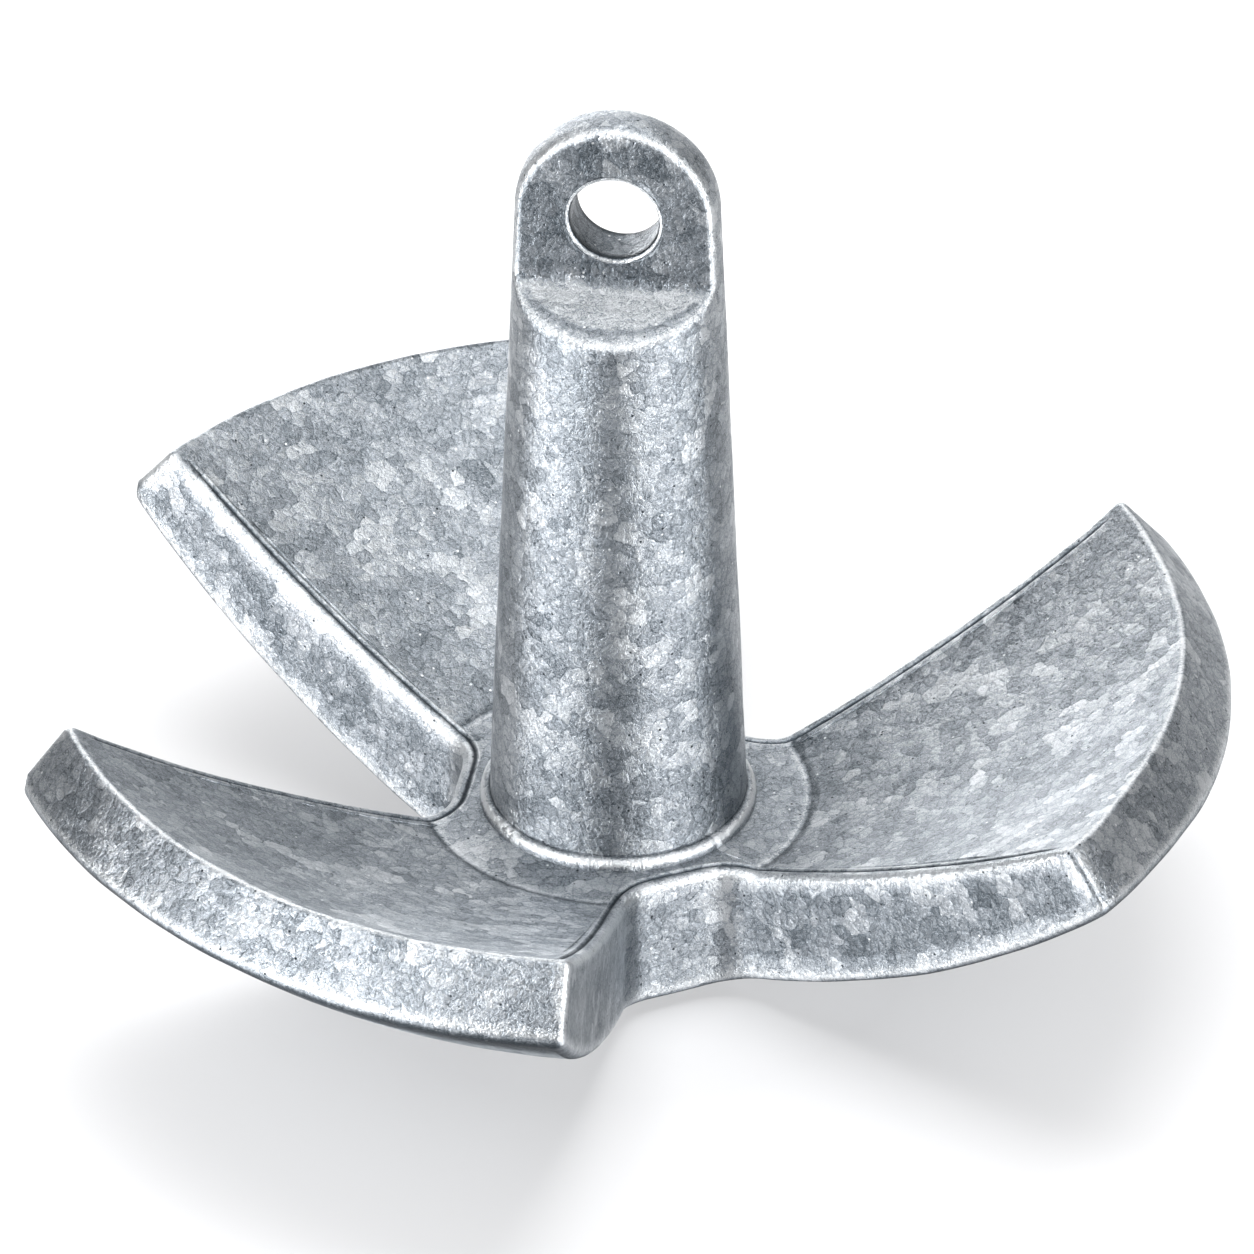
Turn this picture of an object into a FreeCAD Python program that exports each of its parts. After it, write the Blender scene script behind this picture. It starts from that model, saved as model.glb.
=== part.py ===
import FreeCAD, Part
import math
import os

import Sketcher

# River anchor: one iron casting. Three curved flukes rise from a thick round hub, and a tapered
# shank on the hub ends in a flat tang with a shackle eye.
# +Z is up and the origin is on the shank's axis, at the underside of the foot. One fluke points
# along +X and the eye's bore runs along Y. Lengths are millimetres and angles are degrees.

SIZES = {
    "deck_height": (35, "flat top of the hub, above the foot"),
    "deck_margin": (6.5, "edge of the deck, outside the notches' end walls"),
    "deck_blend": (8, "radius of the hollow where deck and flukes meet"),
    "foot_margin": (9, "edge of the flat foot, inside the notches' end walls"),
    "rim_radius": (127, "upper edge of a fluke's rim, from the axis"),
    "rim_height": (79.6, "upper edge of a fluke's rim, above the foot"),
    "fluke_thickness": (19.2, "width of the rim's face, across the fluke"),
    "rim_face_angle": (49.5, "fall of the rim's face, outwards"),
    "fluke_curve": (390, "radius of the hollow upper face, from hub to rim"),
    "belly_curve": (277, "radius of the rounded underside, from foot to rim"),
    "edge_bevel": (1.6, "bevel of all the edges round a fluke"),
    "notch_land": (5.6, "deck left between the collar and a notch's end wall"),
    "notch_wall_width": (14.6, "flat part of a notch's end wall"),
    "notch_side_angle": (29, "turn of a notch's sides from its centre line"),
    "notch_corner": (12, "radius of a notch's two inner corners"),
    "notch_reach": (12, "length of the notch's cutter past the rim"),
    "shank_radius": (29.5, "shank at the deck"),
    "collar_overhang": (2.2, "bead round the shank's root, beyond the shank"),
    "bead_radius": (2.2, "section of that bead"),
    "bead_rise": (0.5, "centre of the bead's section, above the deck"),
    "eye_height": (190, "centre of the eye, above the foot"),
    "eye_radius": (9.9, "bore of the eye"),
    "eye_bevel": (0.9, "bevel of the bore's two edges"),
    "head_radius": (22.6, "round top of the shank, about the eye's centre"),
    "tang_thickness": (12, "flat tang, across its two faces"),
    "tang_round": (2.4, "rounding round the tang's faces and shoulders"),
    "face_drop": (15.8, "lower end of the tang's flat faces, below the eye's centre"),
    "shoulder_slope": (20, "fall of the shoulders, outwards"),
    "shoulder_blend": (4, "radius of the hollow between a face and its shoulder"),
    "cutter_reach": (10, "length of the shoulders' cutter past the shank"),
}
FLUKE_COUNT = 3
FACE_COUNT = 2
NEAR = 0.01
# Where a sketch's rounding picks up an edge: this share of its length from the corner
PICK_SHARE = 0.1

# Distance from the shank's axis to the end wall of a notch
NOTCH_WALL = "(Sizes.shank_radius + Sizes.collar_overhang + Sizes.notch_land)"
SHARP = "Coincident"
SMOOTH = "Tangent"

os.makedirs("parts", exist_ok=True)
doc = FreeCAD.newDocument("river_anchor")
sheet = doc.addObject("Spreadsheet::Sheet", "Sizes")
for row, (alias, (number, meaning)) in enumerate(SIZES.items(), start=1):
    sheet.set(f"A{row}", alias)
    sheet.set(f"B{row}", str(number))
    sheet.set(f"C{row}", meaning)
    sheet.setAlias(f"B{row}", alias)
doc.recompute()
body = doc.addObject("PartDesign::Body", "river_anchor")
body.Label = "river_anchor"
body.Placement = FreeCAD.Placement()


def worked_out(formula):
    """The value of a formula on the sheet's cells."""
    value = sheet.evalExpression(formula)
    return float(getattr(value, "Value", value))


def size(alias):
    """The number in the sheet's cell of that name."""
    return float(sheet.get(alias))


def spot(x, y):
    return FreeCAD.Vector(x, y, 0)


def ray(length, degrees):
    """A vector of that length, turned anticlockwise from the sketch's x axis."""
    turn = math.radians(degrees)
    return spot(length * math.cos(turn), length * math.sin(turn))


def arc(centre, start, end):
    """The arc about a centre, anticlockwise from start to end."""
    arms = [start - centre, end - centre]
    circle = Part.Circle(centre, FreeCAD.Vector(0, 0, 1), arms[0].Length)
    return Part.ArcOfCircle(circle, *[math.atan2(arm.y, arm.x) for arm in arms])


def cupped_arc(start, end, radius):
    """The arc of that radius from start to end that sags below its chord."""
    chord = end - start
    across = spot(-chord.y, chord.x).normalize()
    rise = math.sqrt(radius**2 - chord.Length**2 / 4)
    return arc(start + chord * 0.5 + across * rise, start, end)


def origin_feature(role):
    """One of the body's origin planes or axes."""
    return next(feature for feature in body.Origin.OriginFeatures if feature.Role == role)


def add_sketch(name, plane):
    """An empty sketch on an origin plane."""
    sketch = body.newObject("Sketcher::SketchObject", name)
    sketch.AttachmentSupport = [(origin_feature(plane), "")]
    sketch.MapMode = "FlatFace"
    return sketch


def add_outline(sketch, pieces):
    """Add a closed outline. Each piece is an edge, its way round and its joint to the next."""
    ends = []
    for edge, forwards, _ in pieces:
        number = sketch.addGeometry(edge, False)
        ends.append((number, 1, 2) if forwards else (number, 2, 1))
    for (here, _, tail), (following, head, _), piece in zip(ends, ends[1:] + ends[:1], pieces):
        sketch.addConstraint(Sketcher.Constraint(piece[2], here, tail, following, head))
    return [number for number, _, _ in ends]


def hold(sketch, kind, *where):
    """Add a constraint without a size."""
    sketch.addConstraint(Sketcher.Constraint(kind, *where))


def drive(sketch, name, formula, kind, *where):
    """Add a dimension that follows a formula on the sheet's cells."""
    value = worked_out(formula)
    if kind == "Angle":
        value = math.radians(value)
    number = sketch.addConstraint(Sketcher.Constraint(kind, *where, value))
    sketch.renameConstraint(number, name)
    sketch.setExpression("Constraints." + name, formula)


def mark_corner(sketch, place, *edges):
    """Add a construction point that lies on the edges, to carry a corner's dimensions."""
    mark = sketch.addGeometry(Part.Point(place), True)
    for edge in edges:
        hold(sketch, "PointOnObject", mark, 1, edge)
    return mark


def near_corner(edge, corner):
    """A point of the edge a little way from the end that lies at the corner."""
    start, end = edge.FirstParameter, edge.LastParameter
    if corner.distanceToPoint(edge.value(end)) < corner.distanceToPoint(edge.value(start)):
        start, end = end, start
    return edge.value(start + PICK_SHARE * (end - start))


def blend_corner(sketch, corner, first, second, alias):
    """Round the corner where two edges of the outline meet."""
    picks = [near_corner(sketch.Geometry[number], corner) for number in (first, second)]
    blend = sketch.GeometryCount
    sketch.fillet(first, second, *picks, size(alias), True, False)
    drive(sketch, f"{alias}_{blend}", "Sizes." + alias, "Radius", blend)


def check_sketch(sketch):
    """Solve the sketch, which has to be fixed by its constraints alone."""
    doc.recompute()
    if sketch.solve() != 0 or not sketch.FullyConstrained:
        raise RuntimeError(sketch.Name + " is not fully constrained")


def spin(name, sketch):
    """Add a full turn of the sketch about the shank's axis."""
    turned = body.newObject("PartDesign::Revolution", name)
    turned.Profile = sketch
    turned.ReferenceAxis = (sketch, ["V_Axis"])
    turned.Angle = 360
    doc.recompute()


def cut_through(name, sketch):
    """Cut the sketch right through the body, to both sides of its plane."""
    before = body.Shape.Volume
    pocket = body.newObject("PartDesign::Pocket", name)
    pocket.Profile = sketch
    pocket.SideType = "Symmetric"
    pocket.Type = "ThroughAll"
    doc.recompute()
    if before - body.Shape.Volume < NEAR:
        raise RuntimeError(name + " cuts nothing")
    return pocket


def repeat_round(name, feature, count):
    """Repeat a feature evenly about the shank's axis."""
    pattern = body.newObject("PartDesign::PolarPattern", name)
    pattern.Originals = [feature]
    pattern.Axis = (origin_feature("Z_Axis"), [""])
    pattern.Angle = 360
    pattern.Occurrences = count
    body.Tip = pattern
    doc.recompute()


def dress_edges(name, kind, numbers, formula):
    """Bevel edges of the body with a Chamfer, or round them with a Fillet."""
    if not numbers:
        raise RuntimeError(name + " finds no edge")
    base = body.Tip
    dressing = body.newObject("PartDesign::" + kind, name)
    dressing.Base = (base, [f"Edge{number}" for number in numbers])
    dressing.setExpression("Size" if kind == "Chamfer" else "Radius", formula)
    doc.recompute()
    if "Invalid" in dressing.State:
        raise RuntimeError(name + " can't be made")


def rim_edges():
    """Numbers of the body's level arcs about the shank's axis at the rims of the flukes."""
    found = []
    for number, edge in enumerate(body.Shape.Edges, start=1):
        if edge.Degenerated or edge.BoundBox.ZLength > NEAR or not isinstance(edge.Curve, Part.Circle):
            continue
        if edge.Curve.Radius > size("rim_radius") - NEAR:
            found.append(number)
    return found


def drawn_faces(direction, lowest, kinds=(Part.Plane, Part.Cylinder)):
    """The flat and round faces above a height that are straight along a direction."""
    found = []
    for face in body.Shape.Faces:
        surface = face.Surface
        if not isinstance(surface, kinds) or face.BoundBox.ZMin < lowest - NEAR:
            continue
        lean = abs(surface.Axis.dot(direction))
        straight = lean < NEAR if isinstance(surface, Part.Plane) else lean > 1 - NEAR
        if straight:
            found.append(face)
    return found


def border_edges(faces):
    """Numbers of the body's edges that bound a group of faces, without the seams inside it."""
    found = []
    for number, edge in enumerate(body.Shape.Edges, start=1):
        sharing = [face for face in faces if any(edge.isSame(side) for side in face.Edges)]
        if len(sharing) == 1:
            found.append(number)
    return found


def add_turned_form():
    """Hub, flukes before they are parted, root bead and shank: one turned section."""
    sketch = add_sketch("section", "XZ_Plane")
    deck = size("deck_height")
    foot_edge = spot(worked_out(f"{NOTCH_WALL} - Sizes.foot_margin"), 0)
    deck_edge = spot(worked_out(f"{NOTCH_WALL} + Sizes.deck_margin"), deck)
    rim_top = spot(size("rim_radius"), size("rim_height"))
    rim_foot = rim_top + ray(size("fluke_thickness"), -size("rim_face_angle"))

    eye = spot(0, size("eye_height"))
    root = spot(size("shank_radius"), deck)
    arm = root - eye
    root_turn = math.degrees(math.atan2(arm.y, arm.x))
    shoulder_turn = root_turn + math.degrees(math.acos(size("head_radius") / arm.Length))
    shoulder = eye + ray(size("head_radius"), shoulder_turn)
    crown = eye + spot(0, size("head_radius"))

    across = "Sizes.shank_radius + Sizes.collar_overhang - Sizes.bead_radius"
    bead_centre = spot(worked_out(across), deck + size("bead_rise"))
    bead_foot = spot(bead_centre.x + math.sqrt(size("bead_radius") ** 2 - size("bead_rise") ** 2), deck)
    uphill = (shoulder - root).normalize()
    offset = bead_centre - root
    along = offset.dot(uphill)
    bead_top = root + uphill * (along + math.sqrt(along**2 - offset.Length**2 + size("bead_radius") ** 2))

    foot, belly, rim, upper, flat, bead, taper, cap, middle = add_outline(sketch, [
        (Part.LineSegment(spot(0, 0), foot_edge), True, SHARP),
        (cupped_arc(foot_edge, rim_foot, size("belly_curve")), True, SHARP),
        (Part.LineSegment(rim_foot, rim_top), True, SHARP),
        (cupped_arc(deck_edge, rim_top, size("fluke_curve")), False, SHARP),
        (Part.LineSegment(deck_edge, bead_foot), True, SHARP),
        (arc(bead_centre, bead_foot, bead_top), True, SHARP),
        (Part.LineSegment(bead_top, shoulder), True, SMOOTH),
        (arc(eye, shoulder, crown), True, SHARP),
        (Part.LineSegment(crown, spot(0, 0)), True, SHARP),
    ])
    rim_mark = mark_corner(sketch, rim_top, rim, upper)
    heel_mark = mark_corner(sketch, rim_foot, belly, rim)
    deck_mark = mark_corner(sketch, deck_edge, upper, flat)
    root_mark = mark_corner(sketch, root, taper)
    hold(sketch, "Coincident", foot, 1, -1, 1)
    hold(sketch, "Horizontal", foot)
    hold(sketch, "Horizontal", flat)
    hold(sketch, "Vertical", middle)
    hold(sketch, "PointOnObject", cap, 3, -2)
    drive(sketch, "foot_radius", f"{NOTCH_WALL} - Sizes.foot_margin", "DistanceX", -1, 1, foot, 2)
    drive(sketch, "deck_radius", f"{NOTCH_WALL} + Sizes.deck_margin", "DistanceX", -1, 1, deck_mark, 1)
    drive(sketch, "deck_height", "Sizes.deck_height", "DistanceY", -1, 1, deck_mark, 1)
    drive(sketch, "rim_radius", "Sizes.rim_radius", "DistanceX", -1, 1, rim_mark, 1)
    drive(sketch, "rim_height", "Sizes.rim_height", "DistanceY", -1, 1, rim_mark, 1)
    drive(sketch, "fluke_thickness", "Sizes.fluke_thickness", "Distance", rim_mark, 1, heel_mark, 1)
    drive(sketch, "rim_face_angle", "(180 - Sizes.rim_face_angle) * 1 deg", "Angle", rim)
    drive(sketch, "fluke_curve", "Sizes.fluke_curve", "Radius", upper)
    drive(sketch, "belly_curve", "Sizes.belly_curve", "Radius", belly)
    drive(sketch, "bead_across", across, "DistanceX", -1, 1, bead, 3)
    drive(sketch, "bead_height", "Sizes.deck_height + Sizes.bead_rise", "DistanceY", -1, 1, bead, 3)
    drive(sketch, "bead_radius", "Sizes.bead_radius", "Radius", bead)
    drive(sketch, "shank_radius", "Sizes.shank_radius", "DistanceX", -1, 1, root_mark, 1)
    drive(sketch, "root_height", "Sizes.deck_height", "DistanceY", -1, 1, root_mark, 1)
    drive(sketch, "head_radius", "Sizes.head_radius", "Radius", cap)
    drive(sketch, "eye_height", "Sizes.eye_height", "DistanceY", -1, 1, cap, 3)
    blend_corner(sketch, deck_edge, upper, flat, "deck_blend")
    check_sketch(sketch)
    spin("turned_form", sketch)


def add_notches():
    """The gaps between the flukes, each with a flat end wall, round corners and opening sides."""
    sketch = add_sketch("notch_outline", "XY_Plane")
    wall = -worked_out(NOTCH_WALL)
    half = size("notch_wall_width") / 2
    corner = size("notch_corner")
    slant = size("notch_side_angle")
    far_formula = "Sizes.rim_radius + Sizes.fluke_thickness + Sizes.notch_reach"
    far = -worked_out(far_formula)
    hinge = spot(wall - corner, half)
    bend = hinge + ray(corner, 90 - slant)
    out = spot(far, bend.y + (bend.x - far) * math.tan(math.radians(slant)))

    def mirrored(place):
        return spot(place.x, -place.y)

    back, upper_bend, upper_side, mouth, lower_side, lower_bend = add_outline(sketch, [
        (Part.LineSegment(spot(wall, -half), spot(wall, half)), True, SMOOTH),
        (arc(hinge, spot(wall, half), bend), True, SMOOTH),
        (Part.LineSegment(bend, out), True, SHARP),
        (Part.LineSegment(out, mirrored(out)), True, SHARP),
        (Part.LineSegment(mirrored(out), mirrored(bend)), True, SMOOTH),
        (arc(mirrored(hinge), mirrored(bend), spot(wall, -half)), True, SMOOTH),
    ])
    hold(sketch, "Symmetric", back, 1, back, 2, -1)
    hold(sketch, "Symmetric", mouth, 1, mouth, 2, -1)
    hold(sketch, "Equal", upper_bend, lower_bend)
    drive(sketch, "wall_distance", NOTCH_WALL, "DistanceX", back, 1, -1, 1)
    drive(sketch, "notch_wall_width", "Sizes.notch_wall_width", "Distance", back)
    drive(sketch, "notch_corner", "Sizes.notch_corner", "Radius", upper_bend)
    drive(sketch, "notch_side_angle", "(180 - Sizes.notch_side_angle) * 1 deg", "Angle", upper_side)
    drive(sketch, "mouth_distance", far_formula, "DistanceX", mouth, 1, -1, 1)
    check_sketch(sketch)
    notch = cut_through("notch", sketch)
    repeat_round("notches", notch, FLUKE_COUNT)
    walls = drawn_faces(FreeCAD.Vector(0, 0, 1), 0)
    dress_edges("fluke_bevels", "Chamfer", border_edges(walls) + rim_edges(), "Sizes.edge_bevel")


def add_tang():
    """The flat tang with its sloping shoulders, cut from the round top of the shank."""
    sketch = add_sketch("face_outline", "YZ_Plane")
    face = size("tang_thickness") / 2
    face_end = spot(face, size("eye_height") - size("face_drop"))
    blend = size("shoulder_blend")
    slope = size("shoulder_slope")
    reach_formula = "Sizes.shank_radius + Sizes.cutter_reach"
    top_formula = "Sizes.eye_height + Sizes.head_radius + Sizes.cutter_reach"
    reach = worked_out(reach_formula)
    top = worked_out(top_formula)
    hinge = face_end + spot(blend, 0)
    bend = hinge + ray(blend, -90 - slope)
    out = spot(reach, bend.y - (reach - bend.x) * math.tan(math.radians(slope)))
    side, hollow, shoulder, outer, upper = add_outline(sketch, [
        (Part.LineSegment(spot(face, top), face_end), True, SMOOTH),
        (arc(hinge, face_end, bend), True, SMOOTH),
        (Part.LineSegment(bend, out), True, SHARP),
        (Part.LineSegment(out, spot(reach, top)), True, SHARP),
        (Part.LineSegment(spot(reach, top), spot(face, top)), True, SHARP),
    ])
    hold(sketch, "Vertical", side)
    hold(sketch, "Vertical", outer)
    hold(sketch, "Horizontal", upper)
    drive(sketch, "face_distance", "Sizes.tang_thickness / 2", "DistanceX", -1, 1, side, 2)
    drive(sketch, "face_end", "Sizes.eye_height - Sizes.face_drop", "DistanceY", -1, 1, side, 2)
    drive(sketch, "shoulder_blend", "Sizes.shoulder_blend", "Radius", hollow)
    drive(sketch, "shoulder_slope", "-Sizes.shoulder_slope * 1 deg", "Angle", shoulder)
    drive(sketch, "reach", reach_formula, "DistanceX", -1, 1, outer, 2)
    drive(sketch, "top", top_formula, "DistanceY", -1, 1, outer, 2)
    check_sketch(sketch)
    face_cut = cut_through("face_cut", sketch)
    repeat_round("faces", face_cut, FACE_COUNT)
    cut_faces = drawn_faces(FreeCAD.Vector(1, 0, 0), size("rim_height"))
    dress_edges("tang_rounds", "Fillet", border_edges(cut_faces), "Sizes.tang_round")


def add_eye():
    """The shackle's bore through the tang, with bevelled edges."""
    sketch = add_sketch("eye_outline", "XZ_Plane")
    centre = spot(0, size("eye_height"))
    bore = sketch.addGeometry(Part.Circle(centre, FreeCAD.Vector(0, 0, 1), size("eye_radius")), False)
    hold(sketch, "PointOnObject", bore, 3, -2)
    drive(sketch, "eye_height", "Sizes.eye_height", "DistanceY", -1, 1, bore, 3)
    drive(sketch, "eye_radius", "Sizes.eye_radius", "Radius", bore)
    check_sketch(sketch)
    cut_through("eye", sketch)
    bore_faces = drawn_faces(FreeCAD.Vector(0, 1, 0), size("rim_height"), (Part.Cylinder,))
    dress_edges("eye_bevels", "Chamfer", border_edges(bore_faces), "Sizes.eye_bevel")


def save_bodies():
    """Check every object and write each body to a STEP file that bears its label."""
    doc.recompute()
    for item in doc.Objects:
        if "Invalid" in item.State or "Error" in item.State:
            raise RuntimeError(item.Name + " is in error")
    for item in doc.findObjects("PartDesign::Body"):
        shape = item.Shape
        if shape.isNull() or not shape.isValid() or len(shape.Solids) != 1:
            raise RuntimeError(item.Label + " is not one valid solid")
        shape.exportStep(f"parts/{item.Label}.step")


add_turned_form()
add_notches()
add_tang()
add_eye()
save_bodies()
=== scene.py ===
"""A river anchor: one iron casting with three cupped flukes, a tapered shank and a shackle eye."""

import math

import bpy
import numpy as np
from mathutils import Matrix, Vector


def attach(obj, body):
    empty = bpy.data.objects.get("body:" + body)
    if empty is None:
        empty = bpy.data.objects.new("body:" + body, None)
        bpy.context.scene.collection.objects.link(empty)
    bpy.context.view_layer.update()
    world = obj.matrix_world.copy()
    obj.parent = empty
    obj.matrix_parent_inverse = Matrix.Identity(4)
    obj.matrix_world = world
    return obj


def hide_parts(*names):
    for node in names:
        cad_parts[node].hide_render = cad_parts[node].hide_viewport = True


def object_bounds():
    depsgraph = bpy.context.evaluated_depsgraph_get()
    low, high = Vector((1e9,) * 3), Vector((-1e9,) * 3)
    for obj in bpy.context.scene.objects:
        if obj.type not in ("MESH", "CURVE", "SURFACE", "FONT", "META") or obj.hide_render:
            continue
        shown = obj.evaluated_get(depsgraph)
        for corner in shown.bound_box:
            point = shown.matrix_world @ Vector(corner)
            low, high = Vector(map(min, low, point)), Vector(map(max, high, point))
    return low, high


bl_info = {
    "name": "River Anchor",
    "version": (1, 0, 0),
    "blender": (4, 5, 0),
    "location": "View3D > Sidebar > Anchor",
    "description": "Skins the packed river anchor with its cast and galvanised surface",
    "category": "Object",
}

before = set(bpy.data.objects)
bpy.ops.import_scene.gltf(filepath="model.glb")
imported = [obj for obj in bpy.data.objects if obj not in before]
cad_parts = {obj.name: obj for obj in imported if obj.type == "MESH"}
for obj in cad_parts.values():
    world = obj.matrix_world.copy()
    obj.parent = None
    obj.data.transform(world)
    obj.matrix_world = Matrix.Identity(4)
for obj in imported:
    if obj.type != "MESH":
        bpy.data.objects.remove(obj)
CASTING = "river_anchor"
CASTING_BOX = [[float(number) for number in corner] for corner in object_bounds()]

# Sizes of the casting in millimetres, as its solid has them.
DECK_HEIGHT = 35.0
DECK_EDGE = 43.8            # radius where the deck turns up into the flukes
UPPER_CURVE = 390.0         # radius of the hollow upper faces, from the deck's edge to the rim
BELLY_CURVE = 277.0         # radius of the rounded underside, from the foot's edge to the rim
RIM_TOP = 127.0
RIM_HEIGHT = 79.6
RIM_WIDTH = 19.2            # the rim's face, which falls outwards
RIM_FALL = math.radians(49.5)
RIM_FOOT = RIM_TOP + RIM_WIDTH * math.cos(RIM_FALL)
RIM_FOOT_HEIGHT = RIM_HEIGHT - RIM_WIDTH * math.sin(RIM_FALL)
FOOT_EDGE = 28.3
NOTCH_WALL = 37.3           # distance of a notch's end wall from the axis
NOTCH_HALF = 7.3            # half width of that wall
NOTCH_CORNER = 12.0
NOTCH_SIDE = math.radians(29.0)
NOTCHES = (math.radians(60.0), math.radians(180.0), math.radians(300.0))
BEAD = (29.5, 35.5, 2.2)    # centre from the axis, centre height, radius
BEAD_ANGLES = np.linspace(-62.0, 95.0, 24)
SHANK_ROOT = 29.5
EYE_HEIGHT = 190.0
EYE_RADIUS = 9.9
HEAD_RADIUS = 22.6
TANG_HALF = 6.0
SHOULDER_HEIGHT = 174.2
SHOULDER_SLOPE = math.tan(math.radians(20.0))
SHOULDER_BLEND = 5.0        # width of the turn from the tang's face into the shoulder
PRESSED_FROM = 150.0        # height from which the shank is pressed into the tang

# The flukes' sides stand out from the solid's: azimuth of the fluke's middle in degrees, side
# (1 is anticlockwise seen from above), shift of the upper and of the lower edge and how much
# further the rim reaches at the corner, in millimetres.
UNEVEN_SIDES = ((0.0, 1, 1.7, 1.2, 0.3), (0.0, -1, 0.4, 0.4, 5.0),
                (120.0, 1, 0.4, 2.4, 0.4), (120.0, -1, -2.8, -4.2, 0.0),
                (240.0, 1, 2.3, 2.4, 0.3), (240.0, -1, 1.2, 1.6, 0.6))
# Where a rim is thinner: azimuth in degrees, half width in degrees, rise of its lower edge.
THIN_RIMS = ((232.0, 22.0, 2.0), (330.0, 14.0, 2.8))
INWARD_FADE = 22.0          # how far into a fluke the shift of its side fades, in millimetres
OUTWARD_FADE = 6.0
SHIFT_START = (22.0, 26.0)  # where along a side its shift sets in, and over what length
CORNER_FADE = 22.0          # how far round a corner its reach fades
THIN_START = (90.0, 40.0)   # radius from which a rim gets thinner, and over what length
REACH_RISE = 0.45           # how much a corner rises for each millimetre that it reaches out
WAVES = (26, 14.0, 60.0)    # the casting's low waves: how many, the shortest and the longest

# Rows and columns of points.
OUTLINE_STEPS = (6, 10, 47, 9, 45)      # on the end wall, bend, side, tip and rim of half a fluke
BAND = np.array([2.2, 1.6, 1.25, 0.95, 0.65, 0.35, 0.18, 0.0, -0.18, -0.4])  # by the sunken line
WALL_STEPS = np.array([0.05, 0.11, 0.18, 0.3, 0.45, 0.6, 0.75, 0.9])         # down an outer wall
TOP_RING = 29.0             # radius of the innermost ring of the deck, inside the shank
FOOT_RING = 26.0
FOLLOW = 0.65               # how far those rings' points follow the outline, not an even spread
LIP = (0.95, 0.32)          # distance of the raised lip from the sunken line, and its half width
GROOVE_WIDTH = 0.3
SHANK_COLUMNS = 288
SHANK_RUNS = ((38.2, 40.5, 5), (42.0, 160.0, 56), (161.0, 182.0, 64))   # from, to, how many rows
EYE_SQUARE = 0.86           # half side of the square cut out for the eye, of the hole's radius
EYE_FADE = 0.34             # how far past that square the points still move, of its half side
BORE_RINGS = 6

# Painted light and shade on the zinc, row by row from the top: above 0 a painted highlight, below
# 0 painted shade.
NOTCH_EDGE_HIGHLIGHT = np.array([0.1, 0.35, 0.6, 0.75, 0.8, 0.75, 0.65, 0.5])[:, None]
RIM_EDGE_HIGHLIGHT = np.array([0.0, 0.2, 0.55, 0.75, 0.55, 0.2, 0.0, 0.0])[:, None]
NOTCH_WALL_HIGHLIGHT = np.array([0.3, 0.15, 0.05])[:, None]
# A painted highlight along the lower round edge, and painted shade under it.
LOW_EDGE_HIGHLIGHT_AND_SHADE = np.array([0.1, 0.6, 0.6, 0.1, -0.5, -0.9, -1.0, -1.0, -0.6, -0.2])[:, None]
# A painted highlight on the eye's round edges, and painted shade on their inner part and inside
# the bore.
EYE_EDGE_HIGHLIGHT_AND_SHADE = np.array([0.5, 0.8, 0.5, -0.5, -0.9, -0.9])
BORE_PAINTED_SHADE = -0.3
# A painted tone for each side, lighter above 0 and darker below 0.
SIDE_PAINTED_TONE = (0.0, -0.3, -0.26, 0.0, 0.25, 0.0)      # in the order of the uneven sides
DARK_LINE_CORNER = 1          # the corner, in the same order, with a painted dark line
DARK_EDGED_RIM = (120.0, 40.0)    # azimuth and half width in degrees of a rim whose edge has painted shade, not a painted highlight

# Widths of the zinc's patterns in millimetres.
FLAKE = 7.0                 # groups of crystals of one tone
SCALE = 3.0                 # the crystals
LOBE = 2.4                  # waves in the crystals' outlines
CLOUD = 20.0                # broad patches
PLATE = 2.0                 # thin layers with a dark and a bright edge
SPECK = 2.2                 # distance between pits or bright specks
GRAIN = 0.95                # about twice as coarse as the real grain, which is too fine to show

# The photograph's camera in degrees and metres: turn from square to the tang, height angle,
# distance, the aim's place right of the axis and above the floor, and the lens in millimetres.
VIEW_TURN = math.radians(8.93)
VIEW_LIFT = math.radians(33.66)
VIEW_DISTANCE = 2.0215
AIM_RIGHT = 0.00199
AIM_HEIGHT = 0.0801
LENS = 258.37
SENSOR = 36.0

# The lamps: name, setting with the brightness, turn from the camera's side and height angle in
# degrees, distance, width and height in metres, and whether it casts a shadow. The photograph
# shows one soft shadow under the anchor, so only the lamp above casts one.
LAMPS = (("overhead_soft_box", "overhead", 172.0, 81.0, 1.1, (0.9, 0.8), True),
         ("left_strip_box", "left", -58.0, 15.0, 0.95, (0.2, 0.7), False),
         ("right_strip_box", "right", 50.0, 14.0, 0.95, (0.17, 0.7), False),
         ("back_soft_box", "back", 175.0, 40.0, 1.1, (0.9, 0.5), False),
         ("low_back_box", "low_back", -166.0, 6.0, 1.1, (0.4, 0.22), False))
LIT_HEIGHT = 0.08           # height of the point that the lamps face


def per_metre(width):
    """The scale of a pattern whose parts are that many millimetres wide."""
    return 1000.0 / width


def linear(code):
    """An sRGB hex colour as Blender's linear red, green and blue."""
    channels = [int(code[place:place + 2], 16) / 255.0 for place in (1, 3, 5)]
    return [c / 12.92 if c <= 0.04045 else ((c + 0.055) / 1.055) ** 2.4 for c in channels]


def mesh_object(name, points, faces, painted_tone):
    """A smooth mesh from points in millimetres, with each point's painted tone as an attribute.

    Above 0 the tone is a painted highlight of bright zinc, and below 0 it is painted shade.
    """
    mesh = bpy.data.meshes.new(name)
    mesh.from_pydata((points / 1000.0).tolist(), [], faces)
    mesh.update()
    mesh.validate()
    mesh.polygons.foreach_set("use_smooth", np.ones(len(mesh.polygons), dtype=bool))
    attribute = mesh.attributes.new("painted_light_and_shade", "FLOAT", "POINT")
    attribute.data.foreach_set("value", painted_tone.astype(np.float32))
    piece = bpy.data.objects.new(name, mesh)
    bpy.context.scene.collection.objects.link(piece)
    return piece


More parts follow.
